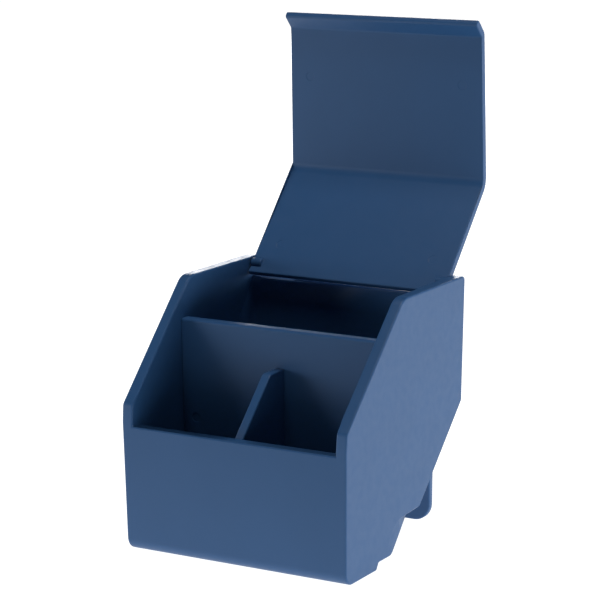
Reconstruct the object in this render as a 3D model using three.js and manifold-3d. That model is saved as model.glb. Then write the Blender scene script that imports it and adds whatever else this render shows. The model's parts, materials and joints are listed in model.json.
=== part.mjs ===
// Desktop organiser box with a cranked flip-up lid.
// Millimetres, +Z up, +X to the right of someone facing the front wall, +Y towards the back.
// The origin is under the middle of the whole object, on the surface that it stands on.
// The lid is modelled closed, flush with the box, and then turned open about its hinge axis.

import * as THREE from 'three';
import { mergeVertices } from 'three/addons/utils/BufferGeometryUtils.js';
import Module from 'manifold-3d';

const wasm = await Module();
wasm.setup();

// ---------------------------------------------------------------- driving dimensions

const WIDTH = 100; // over the side panels, at their top edge
const HEIGHT = 101.7; // side panels, top edge
const DEPTH = 95.7; // front wall to back wall, at their widest
const FRONT_HEIGHT = 50; // front wall
const WALL = 4.8; // side panels and front wall
const BACK_WALL = 4.7;
const FLOOR = 4.5; // slanted floor, square to its face
const GAP = 0.3; // clearance between pieces

const SIDE_DRAFT = 0.836; // degrees, outer faces of the side panels
const SIDE_INNER_DRAFT = 0.68;
const FRONT_DRAFT = 1.2;
const BACK_DRAFT = 0.98;
const PANEL_LEAN = 3.85; // front edge of a side panel above the front wall

const SLANT_RISE = 58; // z - y along the slanted edge of the side panels
const FLOOR_DROP = 34.3; // y - z along the underside of the slanted floor
const CHEEK_DROP = 43.6; // y - z along the lower edge of the side panels
const CHEEK_BOTTOM = 15.5; // lowest edge of the part of a side panel that passes the floor
const CHEEK_ARC = { y: 45, radius: 11.1 }; // rounds the lower front corner of that part
const RECESS_SLOPE = 0.055; // how fast the side face sinks in behind that arc

const FOOT_LENGTH = 25.1; // flat patch that the front of the box stands on
const FOOT_STEP = { run: 1.7, rise: 2.7 };
const FLOOR_INSIDE = 6; // height of the flat stretch of floor inside the box
const BACK_WALL_TOP = 93.8; // below the side panels, so that the lid's rear edge can swing

const TAB = { halfWidth: 37, thickness: 3, cornerRadius: 7, root: 62 };

const CROSS = { y: 36.2, thickness: 5, top: 86 };
const CENTRE = { thickness: 3.8, frontTop: 49.25, rise: 44.4, flatTop: 70.6 };
const GROOVE = 1.5; // depth of the seats that hold the dividers

const LID = {
  top: 52.7, // inner face, rear edge to first bend
  slope: 58.8, // first bend to second bend
  lip: 7.1,
  thickness: 3,
  halfWidth: 44.8, // at the rear edge
  taper: 0.47, // degrees on each side
  slopeAngle: 45.2, // below horizontal when closed
  lipAngle: 87.5,
  bendRadius: 1.5, // inside the bends
  lipEndRadius: 1.2,
};
const OPEN_ANGLE = 133.5; // from closed to the open rest position

const HINGE = { y: 90.4, z: 99.2, toInnerFace: 0.54, toRearEdge: 4.9 };
const BARREL = { radius: 2, length: 5 };
const PIN = { radius: 1, inBarrel: 4.2, inPanel: 3.15 };

const ARC_STEP = Math.PI / 14; // widest angle that one facet of a corner covers
const CHEEK_ARC_STEPS = 8;
const ROD_SIDES = 28;
const PIN_SIDES = 20;
const BEYOND = 12; // how far a cutting solid reaches past what it cuts
const WELD = 1e-4;

const BLUE_PLASTIC = { color: new THREE.Color(0.07, 0.13, 0.27), roughness: 0.42, metalness: 0 };
const PIN_PLASTIC = { color: new THREE.Color(0.06, 0.11, 0.24), roughness: 0.3, metalness: 0 };

// ---------------------------------------------------------------- small helpers

const radians = THREE.MathUtils.degToRad;
const slopeOf = (degrees) => Math.tan(radians(degrees));
const point = (y, z, radius = 0) => ({ y, z, radius });

const outerHalf = (z) => WIDTH / 2 - (HEIGHT - z) * slopeOf(SIDE_DRAFT);
const innerHalf = (z) => WIDTH / 2 - WALL - (HEIGHT - z) * slopeOf(SIDE_INNER_DRAFT);
const backFace = (z) => DEPTH - (HEIGHT - z) * slopeOf(BACK_DRAFT);
const frontFace = (z) => Math.max(0, (FRONT_HEIGHT - z) * slopeOf(FRONT_DRAFT));

// height where the back wall's face, set in by `inset`, meets the line y - z = drop
function backCrossing(drop, inset = 0) {
  const t = slopeOf(BACK_DRAFT);
  return (DEPTH - inset - HEIGHT * t - drop) / (1 - t);
}

// replaces each corner that has a radius by an arc
function rounded(corners) {
  const outline = [];
  corners.forEach((corner, i) => {
    const here = new THREE.Vector2(corner.y, corner.z);
    if (!corner.radius) {
      outline.push(here);
      return;
    }
    const before = corners[(i + corners.length - 1) % corners.length];
    const after = corners[(i + 1) % corners.length];
    const toBefore = new THREE.Vector2(before.y, before.z).sub(here).normalize();
    const toAfter = new THREE.Vector2(after.y, after.z).sub(here).normalize();
    const half = Math.acos(toBefore.dot(toAfter)) / 2;
    const centre = toBefore.clone().add(toAfter).normalize();
    centre.multiplyScalar(corner.radius / Math.sin(half)).add(here);
    const from = toBefore.multiplyScalar(corner.radius / Math.tan(half)).add(here).sub(centre);
    const to = toAfter.multiplyScalar(corner.radius / Math.tan(half)).add(here).sub(centre);
    const sweep = Math.atan2(from.cross(to), from.dot(to));
    const steps = Math.max(2, Math.ceil(Math.abs(sweep) / ARC_STEP));
    for (let k = 0; k <= steps; k += 1) {
      outline.push(from.clone().rotateAround(new THREE.Vector2(), (sweep * k) / steps).add(centre));
    }
  });
  return outline;
}

// a closed solid from an outline in the Y-Z plane, between two faces whose x depends on y and z
function slab(outline, lowX, highX) {
  const geometry = new THREE.ExtrudeGeometry(new THREE.Shape(outline), {
    depth: 1,
    steps: 1,
    bevelEnabled: false,
  });
  const position = geometry.getAttribute('position');
  for (let i = 0; i < position.count; i += 1) {
    const y = position.getX(i);
    const z = position.getY(i);
    const x = position.getZ(i) > 0.5 ? highX(y, z) : lowX(y, z);
    position.setXYZ(i, x, y, z);
  }
  return toSolid(geometry);
}

const mirroredSlab = (outline, half) => slab(outline, (y, z) => -half(y, z), half);

// a cylinder on the hinge axis
function rod(radius, fromX, toX, sides = ROD_SIDES) {
  const geometry = new THREE.CylinderGeometry(radius, radius, Math.abs(toX - fromX), sides);
  geometry.rotateZ(Math.PI / 2);
  geometry.translate((fromX + toX) / 2, HINGE.y, HINGE.z);
  return toSolid(geometry);
}

function toSolid(geometry) {
  geometry.deleteAttribute('normal');
  geometry.deleteAttribute('uv');
  const welded = mergeVertices(geometry, WELD);
  return new wasm.Manifold(
    new wasm.Mesh({
      numProp: 3,
      vertProperties: new Float32Array(welded.getAttribute('position').array),
      triVerts: new Uint32Array(welded.index.array),
    }),
  );
}

function toGeometry(solid) {
  const mesh = solid.getMesh();
  const geometry = new THREE.BufferGeometry();
  geometry.setAttribute('position', new THREE.BufferAttribute(new Float32Array(mesh.vertProperties), 3));
  geometry.setIndex(new THREE.BufferAttribute(new Uint32Array(mesh.triVerts), 1));
  geometry.computeVertexNormals();
  return geometry;
}

function piece(name, solid, material) {
  const mesh = new THREE.Mesh(toGeometry(solid), new THREE.MeshStandardMaterial(material));
  mesh.name = name;
  return mesh;
}

// ---------------------------------------------------------------- box shell

// side view: front wall, slanted panel edge, top, back and the stepped underside
function sideOutline() {
  const lean = slopeOf(PANEL_LEAN);
  const leanTop = (SLANT_RISE - FRONT_HEIGHT * lean) / (1 - lean);
  const backCorner = backCrossing(CHEEK_DROP);
  const step = FOOT_STEP.rise;
  return rounded([
    point(frontFace(0), 0, 5.4),
    point(FOOT_LENGTH, 0, 1),
    point(FOOT_LENGTH + FOOT_STEP.run, step),
    point(FLOOR_DROP + step, step, 4),
    point(FLOOR_DROP + CHEEK_BOTTOM, CHEEK_BOTTOM),
    point(CHEEK_DROP + CHEEK_BOTTOM, CHEEK_BOTTOM, 3),
    point(CHEEK_DROP + backCorner, backCorner, 2),
    point(DEPTH, HEIGHT, 2),
    point(HEIGHT - SLANT_RISE, HEIGHT, 8),
    point(leanTop - SLANT_RISE, leanTop, 3),
    point(0, FRONT_HEIGHT),
  ]);
}

// the space under the slanted floor, between the two cheeks
function underFloorOutline() {
  const right = DEPTH + BEYOND;
  return [
    new THREE.Vector2(FLOOR_DROP + CHEEK_BOTTOM, CHEEK_BOTTOM),
    new THREE.Vector2(FLOOR_DROP + CHEEK_BOTTOM, 0),
    new THREE.Vector2(right, 0),
    new THREE.Vector2(right, right - FLOOR_DROP),
  ];
}

// what is cut away from a side face below the cheek's arc
function recessOutline() {
  const { y, radius } = CHEEK_ARC;
  const centreZ = CHEEK_BOTTOM - radius;
  const right = y + radius + BEYOND;
  const outline = [
    new THREE.Vector2(y - radius, -BEYOND),
    new THREE.Vector2(right, -BEYOND),
    new THREE.Vector2(right, CHEEK_BOTTOM),
  ];
  for (let k = 0; k <= CHEEK_ARC_STEPS; k += 1) {
    const angle = (Math.PI / 2) * (1 + k / CHEEK_ARC_STEPS);
    outline.push(new THREE.Vector2(y + radius * Math.cos(angle), centreZ + radius * Math.sin(angle)));
  }
  return outline;
}

// everything inside the box, and the space above its front and back walls
function cavityOutline() {
  const drop = FLOOR_DROP - FLOOR * Math.SQRT2;
  const floorEnd = backCrossing(drop, BACK_WALL);
  const sky = HEIGHT + BEYOND;
  return rounded([
    point(frontFace(FLOOR_INSIDE) + WALL, FLOOR_INSIDE, 3),
    point(drop + FLOOR_INSIDE, FLOOR_INSIDE, 6),
    point(floorEnd + drop, floorEnd, 3),
    point(backFace(BACK_WALL_TOP) - BACK_WALL, BACK_WALL_TOP),
    point(DEPTH + BEYOND, BACK_WALL_TOP),
    point(DEPTH + BEYOND, sky),
    point(-BEYOND, sky),
    point(-BEYOND, FRONT_HEIGHT),
    point(WALL, FRONT_HEIGHT),
  ]);
}

// plate that hangs down behind the slanted floor, with rounded lower corners
function tabSolid() {
  const { halfWidth, thickness, cornerRadius, root } = TAB;
  const outline = rounded([
    point(-halfWidth, 0, cornerRadius),
    point(halfWidth, 0, cornerRadius),
    point(halfWidth, root),
    point(-halfWidth, root),
  ]);
  const geometry = new THREE.ExtrudeGeometry(new THREE.Shape(outline), { depth: 1, bevelEnabled: false });
  const position = geometry.getAttribute('position');
  for (let i = 0; i < position.count; i += 1) {
    const z = position.getY(i);
    const front = position.getZ(i) > 0.5;
    position.setXYZ(i, position.getX(i), backFace(z) - (front ? thickness : 0), z);
  }
  return toSolid(geometry);
}

// shallow seat in the floor for the foot of the cross divider
function crossSeat() {
  const { y, thickness } = CROSS;
  const drop = FLOOR_DROP - FLOOR * Math.SQRT2;
  return rounded([
    point(y - GAP, y - drop - GROOVE * Math.SQRT2),
    point(y + thickness + GAP, y + thickness - drop - GROOVE * Math.SQRT2),
    point(y + thickness + GAP, y + thickness + BEYOND),
    point(y - GAP, y + BEYOND),
  ]);
}

// shallow upright seat in the front wall for the edge of the centre divider
function centreSeat() {
  const top = CENTRE.frontTop - GROOVE;
  return [
    new THREE.Vector2(frontFace(FLOOR_INSIDE) + WALL - GROOVE, FLOOR_INSIDE),
    new THREE.Vector2(WALL + BEYOND / 2, FLOOR_INSIDE),
    new THREE.Vector2(WALL + BEYOND / 2, top),
    new THREE.Vector2(WALL - GROOVE, top),
  ];
}

function boxShell() {
  const cheekInside = (y, z) => outerHalf(z) - WALL;
  let shell = mirroredSlab(sideOutline(), (y, z) => outerHalf(z));
  shell = shell.subtract(mirroredSlab(underFloorOutline(), cheekInside));
  shell = shell.add(tabSolid());

  const sunk = (y, z) => outerHalf(z) - RECESS_SLOPE * (y - CHEEK_ARC.y + CHEEK_ARC.radius);
  const clear = () => WIDTH / 2 + BEYOND;
  shell = shell.subtract(slab(recessOutline(), sunk, clear));
  shell = shell.subtract(slab(recessOutline(), () => -clear(), (y, z) => -sunk(y, z)));

  shell = shell.subtract(mirroredSlab(cavityOutline(), (y, z) => innerHalf(z)));
  shell = shell.subtract(mirroredSlab(crossSeat(), (y, z) => innerHalf(z)));
  shell = shell.subtract(mirroredSlab(centreSeat(), () => CENTRE.thickness / 2 + GAP));
  for (const side of [-1, 1]) {
    const end = innerHalf(HINGE.z) + PIN.inPanel + GAP;
    shell = shell.subtract(rod(PIN.radius + GAP, side * LID.halfWidth, side * end));
  }
  return shell;
}

// ---------------------------------------------------------------- dividers

function crossDivider() {
  const { y, thickness, top } = CROSS;
  const drop = FLOOR_DROP - (FLOOR - GROOVE) * Math.SQRT2 - GAP * Math.SQRT2;
  const outline = rounded([
    point(y, y - drop),
    point(y + thickness, y + thickness - drop),
    point(y + thickness, top, 1),
    point(y, top, 1),
  ]);
  const plate = mirroredSlab(outline, (py, z) => innerHalf(z) - GAP);
  const seat = [
    new THREE.Vector2(y - BEYOND, FLOOR_INSIDE),
    new THREE.Vector2(y + GROOVE, FLOOR_INSIDE),
    new THREE.Vector2(y + GROOVE, CENTRE.flatTop - GROOVE),
    new THREE.Vector2(y - BEYOND, CENTRE.flatTop - GROOVE),
  ];
  return plate.subtract(mirroredSlab(seat, () => CENTRE.thickness / 2 + GAP));
}

// plate with a slanted and then level top edge, and a tongue at each end
function centreDivider() {
  const { thickness, frontTop, rise, flatTop } = CENTRE;
  const front = frontTop - rise;
  const frontTongue = frontTop - GROOVE - GAP;
  const backTongue = flatTop - GROOVE - GAP;
  const bottom = FLOOR_INSIDE + GAP;
  const drop = FLOOR_DROP - FLOOR * Math.SQRT2 - GAP * Math.SQRT2;
  const wallFoot = frontFace(FLOOR_INSIDE) + WALL;
  const outline = rounded([
    point(wallFoot - GROOVE + GAP, bottom),
    point(drop + bottom, bottom, 6),
    point(CROSS.y - GAP, CROSS.y - GAP - drop),
    point(CROSS.y + GROOVE - GAP, CROSS.y + GROOVE - GAP - drop),
    point(CROSS.y + GROOVE - GAP, backTongue),
    point(CROSS.y - GAP, backTongue),
    point(CROSS.y - GAP, flatTop),
    point(flatTop - rise, flatTop, 3),
    point(front + GAP, frontTop + GAP),
    point(front + GAP, frontTongue),
    point(front + GAP - GROOVE + GAP, frontTongue),
  ]);
  return mirroredSlab(outline, () => thickness / 2);
}

// ---------------------------------------------------------------- lid

// inner face of the closed lid, from its rear edge to the end of its lip
function lidLine() {
  const innerZ = HINGE.z - HINGE.toInnerFace;
  const rear = new THREE.Vector2(HINGE.y + HINGE.toRearEdge, innerZ);
  const bend = new THREE.Vector2(rear.x - LID.top, innerZ);
  const along = (from, length, angle) => new THREE.Vector2(
    from.x - length * Math.cos(radians(angle)),
    from.y - length * Math.sin(radians(angle)),
  );
  const lipBend = along(bend, LID.slope, LID.slopeAngle);
  return [rear, bend, lipBend, along(lipBend, LID.lip, LID.lipAngle)];
}

// the same line moved out by the lid's thickness
function lidOuterLine([rear, bend, lipBend, end]) {
  const t = LID.thickness;
  const mitre = (corner, before, after) => {
    const middle = radians((before + after) / 2);
    const reach = t / Math.cos(radians((after - before) / 2));
    return new THREE.Vector2(corner.x - reach * Math.sin(middle), corner.y + reach * Math.cos(middle));
  };
  return [
    new THREE.Vector2(rear.x, rear.y + t),
    mitre(bend, 0, LID.slopeAngle),
    mitre(lipBend, LID.slopeAngle, LID.lipAngle),
    mitre(end, LID.lipAngle, LID.lipAngle),
  ];
}

function lidSolid() {
  const inner = lidLine();
  const outer = lidOuterLine(inner);
  const r = LID.bendRadius;
  const bendOutside = r + LID.thickness;
  const edge = LID.lipEndRadius;
  const radiiIn = [0.6, r, r, edge];
  const radiiOut = [1.5, bendOutside, bendOutside, edge];
  const outline = rounded([
    ...inner.map((p, i) => point(p.x, p.y, radiiIn[i])).reverse(),
    ...outer.map((p, i) => point(p.x, p.y, radiiOut[i])),
  ]);
  // the sides taper with the distance from the rear edge, measured along the lid
  const [rear, bend, lipBend] = inner;
  const travelled = (y, z) => {
    if (y > bend.x) return rear.x - y;
    if (y > lipBend.x) return LID.top + (bend.x - y) / Math.cos(radians(LID.slopeAngle));
    return LID.top + LID.slope + Math.max(0, lipBend.y - z);
  };
  const half = (y, z) => LID.halfWidth - travelled(y, z) * slopeOf(LID.taper);
  let lid = mirroredSlab(outline, half);
  for (const side of [-1, 1]) {
    const outside = LID.halfWidth - 0.1;
    lid = lid.add(rod(BARREL.radius, side * outside, side * (outside - BARREL.length)));
  }
  for (const side of [-1, 1]) {
    const depth = LID.halfWidth - PIN.inBarrel - GAP;
    lid = lid.subtract(rod(PIN.radius + GAP, side * WIDTH, side * depth));
  }
  return lid;
}

function hingePin(side) {
  const from = LID.halfWidth - PIN.inBarrel;
  const to = innerHalf(HINGE.z) + PIN.inPanel;
  return rod(PIN.radius, side * from, side * to, PIN_SIDES);
}

// ---------------------------------------------------------------- assembly

const box = new THREE.Group();
box.add(piece('box_shell', boxShell(), BLUE_PLASTIC));
box.add(piece('cross_divider', crossDivider(), BLUE_PLASTIC));
box.add(piece('centre_divider', centreDivider(), BLUE_PLASTIC));

// the lid's group turns about the hinge axis
const hinge = new THREE.Group();
hinge.position.set(0, HINGE.y, HINGE.z);
hinge.rotation.x = radians(-OPEN_ANGLE);
const onHinge = new THREE.Group();
onHinge.position.set(0, -HINGE.y, -HINGE.z);
onHinge.add(piece('lid', lidSolid(), BLUE_PLASTIC));
onHinge.add(piece('hinge_pin_left', hingePin(-1), PIN_PLASTIC));
onHinge.add(piece('hinge_pin_right', hingePin(1), PIN_PLASTIC));
hinge.add(onHinge);

const organiser = new THREE.Group();
organiser.add(box, hinge);

// stand the whole object centred on the origin
organiser.updateMatrixWorld(true);
const bounds = new THREE.Box3().setFromObject(organiser, true);
organiser.position.set(0, -(bounds.min.y + bounds.max.y) / 2, -bounds.min.z);

export default organiser;
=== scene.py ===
"""Looks of a desktop organiser box with a cranked lid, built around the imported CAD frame.

Shapes are worked out in the box's own millimetres: x from the middle plane, y back from the front wall,
z up from the surface that it stands on. The frame gives where that y begins, and the lid's hinge.
"""
import json
import math

import bmesh
import bpy
from mathutils import Matrix, Vector


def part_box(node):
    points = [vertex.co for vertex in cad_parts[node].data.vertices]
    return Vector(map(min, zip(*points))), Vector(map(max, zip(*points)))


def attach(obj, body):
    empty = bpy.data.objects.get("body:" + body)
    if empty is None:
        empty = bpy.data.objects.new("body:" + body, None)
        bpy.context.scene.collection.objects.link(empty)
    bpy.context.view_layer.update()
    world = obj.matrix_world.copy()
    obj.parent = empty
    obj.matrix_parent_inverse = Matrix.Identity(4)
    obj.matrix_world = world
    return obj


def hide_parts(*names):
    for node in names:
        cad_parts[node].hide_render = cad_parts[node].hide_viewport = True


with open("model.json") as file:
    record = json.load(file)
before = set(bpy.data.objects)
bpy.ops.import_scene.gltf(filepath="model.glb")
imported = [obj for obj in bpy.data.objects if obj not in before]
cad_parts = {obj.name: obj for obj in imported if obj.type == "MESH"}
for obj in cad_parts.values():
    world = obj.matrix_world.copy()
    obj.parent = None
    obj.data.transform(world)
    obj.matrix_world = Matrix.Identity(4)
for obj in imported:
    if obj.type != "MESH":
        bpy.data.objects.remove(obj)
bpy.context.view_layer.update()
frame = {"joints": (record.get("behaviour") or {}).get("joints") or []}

MM = 0.001
FRONT_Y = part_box("box_shell")[0].y
HINGE = Vector(frame["joints"][0]["pos_m"])
HINGE_Y = (HINGE.y - FRONT_Y) / MM
HINGE_Z = HINGE.z / MM

# ---------------------------------------------------------------- dimensions, mm and degrees

WIDTH, HEIGHT, DEPTH = 100.0, 101.7, 95.7
FRONT_HEIGHT = 50.0
WALL, BACK_WALL, FLOOR = 4.8, 4.7, 4.5
GAP = 0.3
SIDE_DRAFT, SIDE_INNER_DRAFT = 0.836, 0.68
FRONT_DRAFT, FRONT_INNER_DRAFT, BACK_DRAFT = 1.2, 0.3, 0.98
PANEL_LEAN = 3.85
CREASE_ABOVE = 1.6  # from the front wall's top to where the side panels begin to lean back
SLANT_RISE, FLOOR_DROP, CHEEK_DROP = 58.0, 34.3, 43.6
CHEEK_BOTTOM = 15.5
CHEEK_ARC_Y, CHEEK_ARC_R = 45.0, 11.1
RECESS_SLOPE = 0.055
FOOT_LENGTH, FOOT_RUN, FOOT_RISE = 25.1, 1.7, 2.7
FLOOR_INSIDE = 6.0
BACK_WALL_TOP = 93.8
INNER_FILLET = 4.0
TAB_HALF, TAB_THICK, TAB_CORNER, TAB_ROOT = 37.0, 3.0, 7.0, 62.0

CROSS_Y, CROSS_THICK, CROSS_TOP = 36.2, 5.0, 86.0
CENTRE_THICK, CENTRE_RISE, CENTRE_FLAT = 3.8, 44.4, 70.6
SEATED = 0.6  # how deep a divider sinks into the wall that holds it

LID_TOP, LID_SLOPE, LID_LIP = 52.7, 58.8, 7.1
LID_THICK, LID_HALF, LID_TAPER = 3.0, 44.8, 0.47
SLOPE_ANGLE, LIP_ANGLE = 45.2, 87.5
LID_CRANK, LID_BEND, LID_END = 6.0, 1.5, 1.2  # radii inside the main bend and the lip's, and at its end
LID_REAR_INNER, LID_REAR_OUTER = 0.6, 1.4
OPEN_ANGLE = 133.5
TO_INNER_FACE, TO_REAR_EDGE = 0.54, 4.9
BARREL_R, BARREL_LENGTH, BARREL_SET_IN = 2.0, 5.0, 0.1
PIN_R, PIN_IN_BARREL, PIN_IN_PANEL = 1.0, 4.2, 3.15

MARK_R, MARK_DEPTH, MARK_ABOVE = 1.9, 0.14, 0.4  # round ejector marks, and how far their cutter stands out
MARK_FLARE, MARK_TOP_FLARE = 0.12, 0.25
CROSS_MARK_X, CROSS_MARK_Z = 38.5, 46.5
LID_MARK_X, LID_MARK_REAR, LID_MARK_SLOPE = 35.0, 14.6, 39.0  # from the rear edge, and from the bend

EDGE, LID_RIM, DIVIDER_RIM, SMALL_RIM = 0.75, 0.5, 0.5, 0.25  # radii of the moulded edges
RIM_STEPS = 5
ARC_STEP = math.radians(8)
ROUND_SIDES, PIN_SIDES = 48, 32
BEYOND = 12.0  # how far a cutter reaches past what it cuts
TINY, NEAR, SAME_POINT = 0.02, 0.05, 0.0001
FLAT, SHARP = math.radians(0.3), math.radians(40)  # angles between faces


def slope_of(angle):
    return math.tan(math.radians(angle))


def outer_half(z):
    return WIDTH / 2 - (HEIGHT - z) * slope_of(SIDE_DRAFT)


def inner_half(z):
    return WIDTH / 2 - WALL - (HEIGHT - z) * slope_of(SIDE_INNER_DRAFT)


def back_face(z):
    return DEPTH - (HEIGHT - z) * slope_of(BACK_DRAFT)


def front_face(z):
    return max(0.0, (FRONT_HEIGHT - z) * slope_of(FRONT_DRAFT))


def back_crossing(drop, inset=0.0):
    """Height where the back wall's face, set in by inset, meets the line y - z = drop."""
    t = slope_of(BACK_DRAFT)
    return (DEPTH - inset - HEIGHT * t - drop) / (1 - t)


# ---------------------------------------------------------------- mesh helpers
# Outlines are lists of corners (y, z, radius). Meshes stay in millimetres until place() moves them.

def inset(corners, depth):
    """The same corners with every side of the outline moved inwards by depth."""
    spots = [Vector(c[:2]) for c in corners]
    area = sum(a.cross(b) for a, b in zip(spots, spots[1:] + spots[:1]))
    turn = 1 if area > 0 else -1
    moved = []
    for i, (y, z, radius) in enumerate(corners):
        before = (spots[i] - spots[i - 1]).normalized()
        after = (spots[(i + 1) % len(spots)] - spots[i]).normalized()
        normals = [Vector((-side.y, side.x)) * turn for side in (before, after)]
        shift = (normals[0] + normals[1]) * depth / (1 + normals[0].dot(normals[1]))
        convex = before.cross(after) * turn > 0
        if radius:
            radius = max(radius - depth, TINY) if convex else radius + depth
        moved.append((y + shift.x, z + shift.y, radius))
    return moved


def rounded(corners):
    """The outline's points, with an arc at each corner that has a radius."""
    outline = []
    for i, (y, z, radius) in enumerate(corners):
        here = Vector((y, z))
        if not radius:
            outline.append(here)
            continue
        before = (Vector(corners[i - 1][:2]) - here).normalized()
        after = (Vector(corners[(i + 1) % len(corners)][:2]) - here).normalized()
        half = before.angle(after) / 2
        centre = here + (before + after).normalized() * radius / math.sin(half)
        start = here + before * radius / math.tan(half) - centre
        end = here + after * radius / math.tan(half) - centre
        sweep = math.atan2(start.cross(end), start.dot(end))
        steps = max(2, math.ceil(abs(sweep) / ARC_STEP))
        for k in range(steps + 1):
            angle = sweep * k / steps
            outline.append(centre + Vector((
                start.x * math.cos(angle) - start.y * math.sin(angle),
                start.x * math.sin(angle) + start.y * math.cos(angle),
            )))
    return outline


def loft(rings, name="cutter"):
    """A closed solid through rings of points, with quads between them and triangles over both ends."""
    bm = bmesh.new()
    loops = [[bm.verts.new(p) for p in ring] for ring in rings]
    count = len(loops[0])
    for low, high in zip(loops, loops[1:]):
        for i in range(count):
            j = (i + 1) % count
            bm.faces.new((low[i], low[j], high[j], high[i]))
    caps = [bm.faces.new(loops[0][::-1]), bm.faces.new(loops[-1])]
    bmesh.ops.triangulate(bm, faces=caps, ngon_method="EAR_CLIP")
    bmesh.ops.remove_doubles(bm, verts=bm.verts, dist=SAME_POINT)
    bmesh.ops.recalc_face_normals(bm, faces=bm.faces)
    mesh = bpy.data.meshes.new(name)
    bm.to_mesh(mesh)
    bm.free()
    obj = bpy.data.objects.new(name, mesh)
    bpy.context.scene.collection.objects.link(obj)
    return obj


def everywhere(y, z):
    return 1.0


def rim_rings(corners, radius, fade, side):
    """Outlines that round the rim of a plate's face, on its side -1 or 1. Each point comes with its offset
    back from the face. They are in order from side -1 to side 1. fade(y, z) scales the radius."""
    base = rounded(corners)
    rings = []
    for k in range(RIM_STEPS + 1 if radius else 1):
        angle = math.pi / 2 * k / RIM_STEPS
        depth = radius * (1 - math.cos(angle))
        back_off = radius * (1 - math.sin(angle)) * side
        ring = []
        for start, end in zip(base, rounded(inset(corners, depth)) if depth else base):
            scale = fade(start.x, start.y)
            ring.append((back_off * scale, start + (end - start) * scale))
        rings.append(ring)
    return rings if side > 0 else rings[::-1]


def slab(corners, half, rim=0.0, name="cutter", fade=everywhere):
    """A plate with an outline in the Y-Z plane. Its faces lie half(y, z) to each side of the middle plane,
    and both rims are rounded to the radius given."""
    rings = []
    for side in (-1, 1):
        for ring in rim_rings(corners, rim, fade, side):
            rings.append([(side * half(*p) - back_off, *p) for back_off, p in ring])
    return loft(rings, name)


def turned(profile, start, towards, name="cutter", sides=ROUND_SIDES):
    """A solid of revolution: profile holds (distance from start, radius) along the line to towards."""
    start = Vector(start)
    axis = (Vector(towards) - start).normalized()
    across = axis.orthogonal().normalized()
    other = axis.cross(across)
    rings = []
    for distance, radius in profile:
        ring = []
        for k in range(sides):
            a = 2 * math.pi * k / sides
            ring.append(start + axis * distance + (across * math.cos(a) + other * math.sin(a)) * radius)
        rings.append(ring)
    return loft(rings, name)


def round_rod(radius, start, end, rim, name="cutter", sides=ROUND_SIDES):
    """A cylinder with rounded ends."""
    length = (Vector(end) - Vector(start)).length
    turn = [math.pi / 2 * k / RIM_STEPS for k in range(RIM_STEPS + 1)]
    profile = [(rim * (1 - math.sin(a)), radius - rim * (1 - math.cos(a))) for a in reversed(turn)]
    profile += [(length - rim * (1 - math.sin(a)), radius - rim * (1 - math.cos(a))) for a in turn]
    return turned(profile, start, end, name, sides)


def bore(radius, start, end):
    """Cutter for a round hole."""
    length = (Vector(end) - Vector(start)).length
    return turned([(0, radius), (length, radius)], start, end)


def combine(obj, tool, operation):
    """Joins or cuts obj with tool, and removes tool."""
    modifier = obj.modifiers.new(operation, "BOOLEAN")
    modifier.operation = operation
    modifier.solver = "MANIFOLD"
    modifier.object = tool
    graph = bpy.context.evaluated_depsgraph_get()
    mesh = bpy.data.meshes.new_from_object(obj.evaluated_get(graph))
    obj.modifiers.clear()
    obj.data = mesh
    bpy.data.objects.remove(tool)
    return obj


def cut(obj, tool):
    return combine(obj, tool, "DIFFERENCE")


def join(obj, tool):
    return combine(obj, tool, "UNION")


def edit(obj, change):
    """Lets change(bm) work on the object's mesh."""
    bm = bmesh.new()
    bm.from_mesh(obj.data)
    change(bm)
    bm.to_mesh(obj.data)
    bm.free()
    return obj


def merge_flat(bm):
    """Joins faces that lie in one plane."""
    bmesh.ops.dissolve_limit(bm, angle_limit=FLAT, verts=bm.verts, edges=bm.edges)


def finish_mesh(obj):
    """Cleans a mesh, shades it smooth with large faces kept flat, and brings it to the frame."""
    edit(obj, merge_flat)
    for polygon in obj.data.polygons:
        polygon.use_smooth = True
    modifier = obj.modifiers.new("normals", "WEIGHTED_NORMAL")
    modifier.weight = 100
    return place(obj)


def place(obj):
    """Moves a mesh from the box's own millimetres to the frame's metres."""
    obj.data.transform(Matrix.Translation((0, FRONT_Y, 0)) @ Matrix.Scale(MM, 4))
    return obj


# ---------------------------------------------------------------- box shell

def body():
    """The whole outside of the box as one solid: walls, slanted front and stepped underside."""
    lean = slope_of(PANEL_LEAN)
    lean_top = (SLANT_RISE - FRONT_HEIGHT * lean) / (1 - lean)
    back_corner = back_crossing(CHEEK_DROP)
    corners = [
        (front_face(0), 0, 5.4),
        (FOOT_LENGTH, 0, 1),
        (FOOT_LENGTH + FOOT_RUN, FOOT_RISE, 0.8),
        (FLOOR_DROP + FOOT_RISE, FOOT_RISE, 4),
        (FLOOR_DROP + CHEEK_BOTTOM, CHEEK_BOTTOM, 0),
        (CHEEK_DROP + CHEEK_BOTTOM, CHEEK_BOTTOM, 3),
        (CHEEK_DROP + back_corner, back_corner, 2),
        (DEPTH, HEIGHT, 2),
        (HEIGHT - SLANT_RISE, HEIGHT, 8),
        (lean_top - SLANT_RISE, lean_top, 3),
        (-CREASE_ABOVE * slope_of(FRONT_DRAFT), FRONT_HEIGHT + CREASE_ABOVE, 0),
    ]
    return slab(corners, lambda y, z: outer_half(z), EDGE, "box_moulding")


def under_floor():
    """The space below the slanted floor, between the two cheeks."""
    right = DEPTH + BEYOND
    corners = [
        (FLOOR_DROP + CHEEK_BOTTOM, CHEEK_BOTTOM, 0),
        (FLOOR_DROP + CHEEK_BOTTOM, -BEYOND, 0),
        (right, -BEYOND, 0),
        (right, right - FLOOR_DROP, 0),
    ]
    return slab(corners, lambda y, z: outer_half(z) - WALL)


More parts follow.
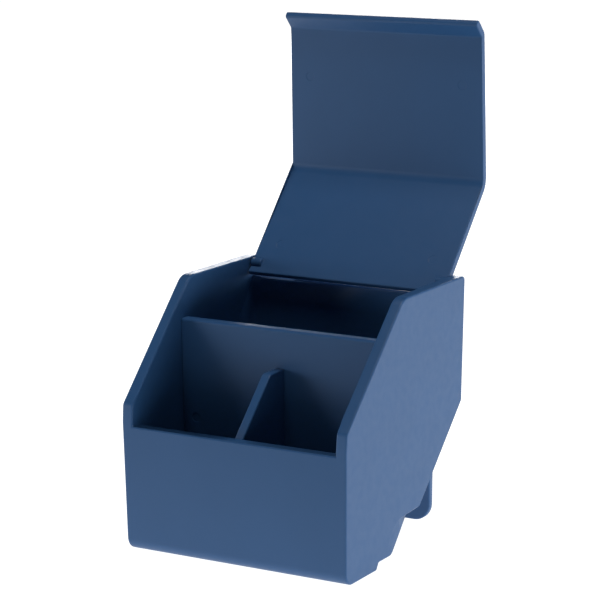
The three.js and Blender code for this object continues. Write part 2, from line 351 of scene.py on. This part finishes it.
def round_top_edges(bm):
    """Rounds the inner rims of the side panels and the tops of the front and back walls."""
    back_top = back_face(BACK_WALL_TOP)
    tops = (
        (0, FRONT_HEIGHT),
        (WALL, FRONT_HEIGHT),
        (back_top, BACK_WALL_TOP),
        (back_top - BACK_WALL, BACK_WALL_TOP),
    )

    def on_wall_top(c):
        return any(abs(c.y - y) < NEAR and abs(c.z - z) < TINY for y, z in tops)

    def on_rim(c):
        wall_top = FRONT_HEIGHT if c.y < DEPTH / 2 else BACK_WALL_TOP
        return abs(abs(c.x) - inner_half(c.z)) < NEAR and c.z > wall_top - TINY

    chosen = []
    for edge in bm.edges:
        if edge.is_manifold and edge.is_convex and edge.calc_face_angle() > SHARP:
            ends = [v.co for v in edge.verts]
            if all(on_wall_top(c) for c in ends) or all(on_rim(c) for c in ends):
                chosen.append(edge)
    bmesh.ops.bevel(
        bm, geom=chosen, offset=EDGE, segments=RIM_STEPS, profile=0.5, affect="EDGES", clamp_overlap=False
    )


def cavity():
    """The room inside. Its fillets fade out towards the front and towards the tops of the walls."""
    drop = FLOOR_DROP - FLOOR * math.sqrt(2)
    floor_end = back_crossing(drop, BACK_WALL)
    sky = HEIGHT + BEYOND
    fillet_top = BACK_WALL_TOP - 2
    corners = [
        (front_face(FLOOR_INSIDE) + WALL, FLOOR_INSIDE, INNER_FILLET + 1),
        (drop + FLOOR_INSIDE, FLOOR_INSIDE, INNER_FILLET + 4),
        (floor_end + drop, floor_end, INNER_FILLET + 1),
        (back_face(fillet_top) - BACK_WALL, fillet_top, 0),
        (back_face(sky) - BACK_WALL, sky, 0),
        (WALL - (sky - FRONT_HEIGHT) * slope_of(FRONT_INNER_DRAFT), sky, 0),
    ]

    def low_at_back(y, z):
        behind_cross = min(1.0, max(0.0, (y - CROSS_Y) / CROSS_THICK))
        return behind_cross if z < fillet_top - 1 else 0.0

    return slab(corners, lambda y, z: inner_half(z), INNER_FILLET, fade=low_at_back)


def above_walls():
    """What is open between the side panels, above the front and back walls."""
    sky = HEIGHT + BEYOND
    corners = [
        (-BEYOND, FRONT_HEIGHT, 0),
        (DEPTH * 0.4, FRONT_HEIGHT, 0),
        (DEPTH * 0.8, BACK_WALL_TOP, 0),
        (DEPTH + BEYOND, BACK_WALL_TOP, 0),
        (DEPTH + BEYOND, sky, 0),
        (-BEYOND, sky, 0),
    ]
    return slab(corners, lambda y, z: inner_half(z))


def tab():
    """The plate that hangs down behind the slanted floor, with rounded lower corners."""
    corners = [
        (-TAB_HALF, 0, TAB_CORNER),
        (TAB_HALF, 0, TAB_CORNER),
        (TAB_HALF, TAB_ROOT, 0),
        (-TAB_HALF, TAB_ROOT, 0),
    ]

    def below_floor(x, z):
        """Fades the rounding out over 2 mm, 4 mm below the tab's root."""
        return min(1.0, max(0.0, (TAB_ROOT - 4 - z) / 2))

    rings = []
    for from_back, side in ((TAB_THICK, -1), (0, 1)):
        for ring in rim_rings(corners, EDGE, below_floor, side):
            rings.append([(x, back_face(z) - from_back - back_off, z) for back_off, (x, z) in ring])
    return loft(rings)


def recess_depth(y):
    """How far the tub's side lies below the cheek's face."""
    return RECESS_SLOPE * (y - CHEEK_ARC_Y + CHEEK_ARC_R)


def recess(side):
    """What is cut from a side face behind the arc, where the tub's side lies deeper than the cheek.
    Its own sides flare outwards, so that the step has a slanted face."""
    front = CHEEK_ARC_Y - CHEEK_ARC_R
    right = CHEEK_ARC_Y + CHEEK_ARC_R + BEYOND
    corners = [
        (front, -BEYOND, 0),
        (right, -BEYOND, 0),
        (right, CHEEK_BOTTOM, 0),
        (front, CHEEK_BOTTOM, CHEEK_ARC_R),
    ]
    deep = [(side * (outer_half(z) - recess_depth(y)), y, z) for y, z in rounded(corners)]
    wide = [(side * (WIDTH / 2 + BEYOND), y, z) for y, z in rounded(inset(corners, -BEYOND))]
    return loft([deep, wide] if side > 0 else [wide, deep])


def build_shell():
    shell = body()
    cut(shell, under_floor())
    cut(shell, cavity())
    cut(shell, above_walls())
    edit(shell, merge_flat)
    edit(shell, round_top_edges)
    join(shell, tab())
    for side in (-1, 1):
        cut(shell, recess(side))
        start = (side * LID_HALF, HINGE_Y, HINGE_Z)
        end = (side * (inner_half(HINGE_Z) + PIN_IN_PANEL + GAP), HINGE_Y, HINGE_Z)
        cut(shell, bore(PIN_R + GAP, start, end))
    return finish_mesh(shell)


# ---------------------------------------------------------------- dividers

def mark(at, inward):
    """Cutter for a shallow round mark on a face, at a point of it, towards the plate's inside."""
    at, inward = Vector(at), Vector(inward).normalized()
    profile = [
        (0, MARK_R + MARK_TOP_FLARE),
        (MARK_ABOVE - TINY, MARK_R + MARK_FLARE),
        (MARK_ABOVE + MARK_DEPTH * 0.4, MARK_R),
        (MARK_ABOVE + MARK_DEPTH, MARK_R - MARK_FLARE),
    ]
    start = at - inward * MARK_ABOVE
    return turned(profile, start, start + inward)


def build_cross():
    drop = FLOOR_DROP - FLOOR * math.sqrt(2)
    corners = [
        (CROSS_Y, CROSS_Y - drop, 0),
        (CROSS_Y + CROSS_THICK, CROSS_Y + CROSS_THICK - drop, 0),
        (CROSS_Y + CROSS_THICK, CROSS_TOP, 1.1),
        (CROSS_Y, CROSS_TOP, 1.1),
    ]
    plate = slab(corners, lambda y, z: inner_half(z) - GAP / 2, SMALL_RIM, "cross_wall")
    for x in (-CROSS_MARK_X, CROSS_MARK_X):
        cut(plate, mark((x, CROSS_Y, CROSS_MARK_Z), (0, 1, 0)))
    return finish_mesh(plate)


def build_centre():
    drop = FLOOR_DROP - FLOOR * math.sqrt(2)
    front = WALL - SEATED
    back = CROSS_Y + SEATED
    corners = [
        (front + 1, FLOOR_INSIDE, 0),
        (drop + FLOOR_INSIDE, FLOOR_INSIDE, 6),
        (back, back - drop, 0),
        (back, CENTRE_FLAT, 0),
        (CENTRE_FLAT - CENTRE_RISE, CENTRE_FLAT, 3.5),
        (front, CENTRE_RISE + front, 0),
    ]
    return finish_mesh(slab(corners, lambda y, z: CENTRE_THICK / 2, DIVIDER_RIM, "centre_wall"))


# ---------------------------------------------------------------- lid

def lid_line():
    """Inner face of the closed lid, from its rear edge to the end of its lip."""
    inner_z = HINGE_Z - TO_INNER_FACE
    rear = Vector((HINGE_Y + TO_REAR_EDGE, inner_z))
    bend = Vector((rear.x - LID_TOP, inner_z))

    def along(start, length, angle):
        a = math.radians(angle)
        return start - Vector((math.cos(a), math.sin(a))) * length

    lip_bend = along(bend, LID_SLOPE, SLOPE_ANGLE)
    return [rear, bend, lip_bend, along(lip_bend, LID_LIP, LIP_ANGLE)]


def lid_outer(line):
    """The same line moved out by the lid's thickness."""
    runs = ((0, 0), (0, SLOPE_ANGLE), (SLOPE_ANGLE, LIP_ANGLE), (LIP_ANGLE, LIP_ANGLE))
    moved = []
    for corner, (before, after) in zip(line, runs):
        middle = math.radians((before + after) / 2)
        reach = LID_THICK / math.cos(math.radians((after - before) / 2))
        moved.append(corner + Vector((-math.sin(middle), math.cos(middle))) * reach)
    return moved


def build_lid():
    inner = lid_line()
    outer = lid_outer(inner)
    radii_in = (LID_REAR_INNER, LID_CRANK, LID_BEND, LID_END)
    radii_out = (LID_REAR_OUTER, LID_CRANK + LID_THICK, LID_BEND + LID_THICK, LID_END)
    corners = [(*p, r) for p, r in zip(inner, radii_in)][::-1] + [(*p, r) for p, r in zip(outer, radii_out)]
    rear, bend, lip_bend = inner[:3]

    def travelled(y, z):
        if y > bend.x:
            return rear.x - y
        if y > lip_bend.x:
            return LID_TOP + (bend.x - y) / math.cos(math.radians(SLOPE_ANGLE))
        return LID_TOP + LID_SLOPE + max(0, lip_bend.y - z)

    def half(y, z):
        return LID_HALF - travelled(y, z) * slope_of(LID_TAPER)

    lid = slab(corners, half, LID_RIM, "lid_plate")
    for side in (-1, 1):
        outside = LID_HALF - BARREL_SET_IN
        start = (side * outside, HINGE_Y, HINGE_Z)
        end = (side * (outside - BARREL_LENGTH), HINGE_Y, HINGE_Z)
        join(lid, round_rod(BARREL_R, start, end, LID_RIM))
        deep = (side * (LID_HALF - PIN_IN_BARREL - GAP), HINGE_Y, HINGE_Z)
        cut(lid, bore(PIN_R + GAP, (side * WIDTH / 2, HINGE_Y, HINGE_Z), deep))
    angle = math.radians(SLOPE_ANGLE)
    down = Vector((0, -math.cos(angle), -math.sin(angle)))
    outward = Vector((0, -math.sin(angle), math.cos(angle)))
    for x in (-LID_MARK_X, LID_MARK_X):
        cut(lid, mark((x, rear.x - LID_MARK_REAR, rear.y), (0, 0, 1)))
        cut(lid, mark(Vector((x, bend.x, bend.y)) + down * LID_MARK_SLOPE, outward))
    return opened(lid)


def opened(obj):
    """Finishes a piece of the closed lid, and turns it open about the hinge to its rest pose."""
    finish_mesh(obj)
    turn = Matrix.Rotation(math.radians(-OPEN_ANGLE), 4, "X")
    obj.data.transform(Matrix.Translation(HINGE) @ turn @ Matrix.Translation(-HINGE))
    return obj


def build_pin(side, name):
    start = (side * (LID_HALF - PIN_IN_BARREL), HINGE_Y, HINGE_Z)
    end = (side * (inner_half(HINGE_Z) + PIN_IN_PANEL), HINGE_Y, HINGE_Z)
    return opened(round_rod(PIN_R, start, end, SMALL_RIM, name, PIN_SIDES))


# ---------------------------------------------------------------- materials

def moulded_plastic(name, colour, roughness):
    """Satin moulded plastic: slightly uneven colour, a fine eroded grain and a faint sink waviness."""
    material = bpy.data.materials.new(name)
    material.use_nodes = True
    nodes, links = material.node_tree.nodes, material.node_tree.links
    shader = nodes["Principled BSDF"]
    position = nodes.new("ShaderNodeTexCoord").outputs["Object"]

    def noise(scale, detail):
        node = nodes.new("ShaderNodeTexNoise")
        node.inputs["Scale"].default_value = scale
        node.inputs["Detail"].default_value = detail
        links.new(position, node.inputs["Vector"])
        return node.outputs["Fac"]

    def spread(value, low, high):
        """Brings a noise value, mostly 0.3 to 0.7, to the range from low to high."""
        node = nodes.new("ShaderNodeMapRange")
        node.inputs["From Min"].default_value = 0.3
        node.inputs["From Max"].default_value = 0.7
        node.inputs["To Min"].default_value = low
        node.inputs["To Max"].default_value = high
        links.new(value, node.inputs["Value"])
        return node.outputs["Result"]

    tint = nodes.new("ShaderNodeHueSaturation")
    tint.inputs["Color"].default_value = (*colour, 1)
    links.new(spread(noise(45, 3), 0.98, 1.02), tint.inputs["Value"])
    links.new(tint.outputs["Color"], shader.inputs["Base Color"])
    links.new(spread(noise(300, 4), roughness - 0.05, roughness + 0.05), shader.inputs["Roughness"])
    shader.inputs["IOR"].default_value = 1.5
    shader.inputs["Specular IOR Level"].default_value = 0.28

    grain = nodes.new("ShaderNodeBump")
    grain.inputs["Strength"].default_value = 0.25
    grain.inputs["Distance"].default_value = 0.02 * MM
    links.new(noise(5200, 2), grain.inputs["Height"])
    waves = nodes.new("ShaderNodeBump")
    waves.inputs["Strength"].default_value = 0.04
    waves.inputs["Distance"].default_value = 0.12 * MM
    links.new(noise(60, 1), waves.inputs["Height"])
    links.new(waves.outputs["Normal"], grain.inputs["Normal"])
    links.new(grain.outputs["Normal"], shader.inputs["Normal"])
    return material


BLUE = (0.026, 0.089, 0.222)
DARK_BLUE = (0.021, 0.074, 0.19)
blue_plastic = moulded_plastic("blue_plastic", BLUE, 0.42)
pin_plastic = moulded_plastic("pin_plastic", DARK_BLUE, 0.3)


# ---------------------------------------------------------------- pieces

def show(piece, node, body, material):
    """Finishes a piece and lets it stand for its CAD node."""
    piece.data.materials.clear()
    piece.data.materials.append(material)
    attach(piece, body)
    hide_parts(node)


show(build_shell(), "box_shell", "box", blue_plastic)
show(build_cross(), "cross_divider", "box", blue_plastic)
show(build_centre(), "centre_divider", "box", blue_plastic)
show(build_lid(), "lid", "lid", blue_plastic)
show(build_pin(-1, "pin_left"), "hinge_pin_left", "lid", pin_plastic)
show(build_pin(1, "pin_right"), "hinge_pin_right", "lid", pin_plastic)


# ---------------------------------------------------------------- floor, light and camera

FLOOR_RADIUS = 12.0


def build_floor():
    """A white floor that glows from just in front of the box backwards, like a light table."""
    bm = bmesh.new()
    bmesh.ops.create_circle(bm, cap_ends=True, segments=96, radius=FLOOR_RADIUS)
    mesh = bpy.data.meshes.new("floor")
    bm.to_mesh(mesh)
    bm.free()
    floor = bpy.data.objects.new("floor", mesh)
    bpy.context.scene.collection.objects.link(floor)
    material = bpy.data.materials.new("floor_white")
    material.use_nodes = True
    shader = material.node_tree.nodes["Principled BSDF"]
    shader.inputs["Base Color"].default_value = (0.3, 0.3, 0.3, 1)
    shader.inputs["Roughness"].default_value = 0.9
    shader.inputs["Specular IOR Level"].default_value = 0.1
    shader.inputs["Emission Color"].default_value = (1, 1, 1, 1)
    nodes, links = material.node_tree.nodes, material.node_tree.links
    parts = nodes.new("ShaderNodeSeparateXYZ")
    links.new(nodes.new("ShaderNodeTexCoord").outputs["Object"], parts.inputs["Vector"])
    glow = nodes.new("ShaderNodeMapRange")
    glow.interpolation_type = "SMOOTHSTEP"
    glow.inputs["From Min"].default_value = -0.4
    glow.inputs["From Max"].default_value = -0.13
    glow.inputs["To Min"].default_value = 0.15
    glow.inputs["To Max"].default_value = 1.05
    links.new(parts.outputs["Y"], glow.inputs["Value"])
    links.new(glow.outputs["Result"], shader.inputs["Emission Strength"])
    floor.data.materials.append(material)


def build_world():
    """A light tent with a bright band around the horizon and a dark ceiling."""
    world = bpy.data.worlds.new("tent")
    bpy.context.scene.world = world
    world.use_nodes = True
    nodes, links = world.node_tree.nodes, world.node_tree.links
    background = nodes["Background"]
    direction = nodes.new("ShaderNodeTexCoord").outputs["Generated"]
    parts = nodes.new("ShaderNodeSeparateXYZ")
    links.new(direction, parts.inputs["Vector"])
    ramp = nodes.new("ShaderNodeValToRGB").color_ramp
    stops = ((0.0, 0.3), (0.05, 0.2), (0.12, 0.05), (0.4, 0.015), (1.0, 0.015))
    while len(ramp.elements) < len(stops):
        ramp.elements.new(0.5)
    for element, (height, grey) in zip(ramp.elements, stops):
        element.position = height
        element.color = (grey, grey, grey, 1)
    links.new(parts.outputs["Z"], nodes["Color Ramp"].inputs["Fac"])
    links.new(nodes["Color Ramp"].outputs["Color"], background.inputs["Color"])


def softbox(name, position, aim, size, power):
    """A rectangular lamp that the camera doesn't see."""
    light = bpy.data.lights.new(name, "AREA")
    light.shape = "RECTANGLE"
    light.size, light.size_y = size
    light.energy = power
    lamp = bpy.data.objects.new(name, light)
    lamp.location = position
    lamp.rotation_euler = (Vector(aim) - Vector(position)).to_track_quat("-Z", "Y").to_euler()
    lamp.visible_camera = False
    bpy.context.scene.collection.objects.link(lamp)


def build_camera():
    """Looks at the object from its front right, a little from above."""
    azimuth, elevation, roll = math.radians(29.955), math.radians(11.675), math.radians(-0.279)
    distance = 0.93
    back = Vector((
        math.sin(azimuth) * math.cos(elevation),
        -math.cos(azimuth) * math.cos(elevation),
        math.sin(elevation),
    ))
    right = Vector((math.cos(azimuth), math.sin(azimuth), 0))
    up = back.cross(right)
    right, up = (
        right * math.cos(roll) + up * math.sin(roll),
        up * math.cos(roll) - right * math.sin(roll),
    )
    target = Vector((0.0074, -0.0202, 0.0972))
    data = bpy.data.cameras.new("camera")
    data.lens = 145.27
    data.sensor_width = 36
    data.shift_x = -0.0078
    data.clip_start = 0.02
    camera = bpy.data.objects.new("camera", data)
    rotation = Matrix((right, up, back)).transposed().to_4x4()
    camera.matrix_world = Matrix.Translation(target + back * distance) @ rotation
    bpy.context.scene.collection.objects.link(camera)
    bpy.context.scene.camera = camera


build_floor()
build_world()
softbox("right_softbox", (1.6, 0.35, 0.17), (0, 0, 0.08), (1.4, 0.3), 17)
softbox("back_softbox", (-0.7, 1.9, 0.42), (0, 0, 0.1), (1.6, 0.7), 30)
softbox("top_softbox", (0, -0.15, 1.5), (0, 0, 0.1), (0.5, 0.5), 9.5)
softbox("left_softbox", (-1.05, -0.75, 0.2), (0, 0, 0.08), (0.9, 0.3), 5)
build_camera()
bpy.context.scene.view_settings.view_transform = "Standard"
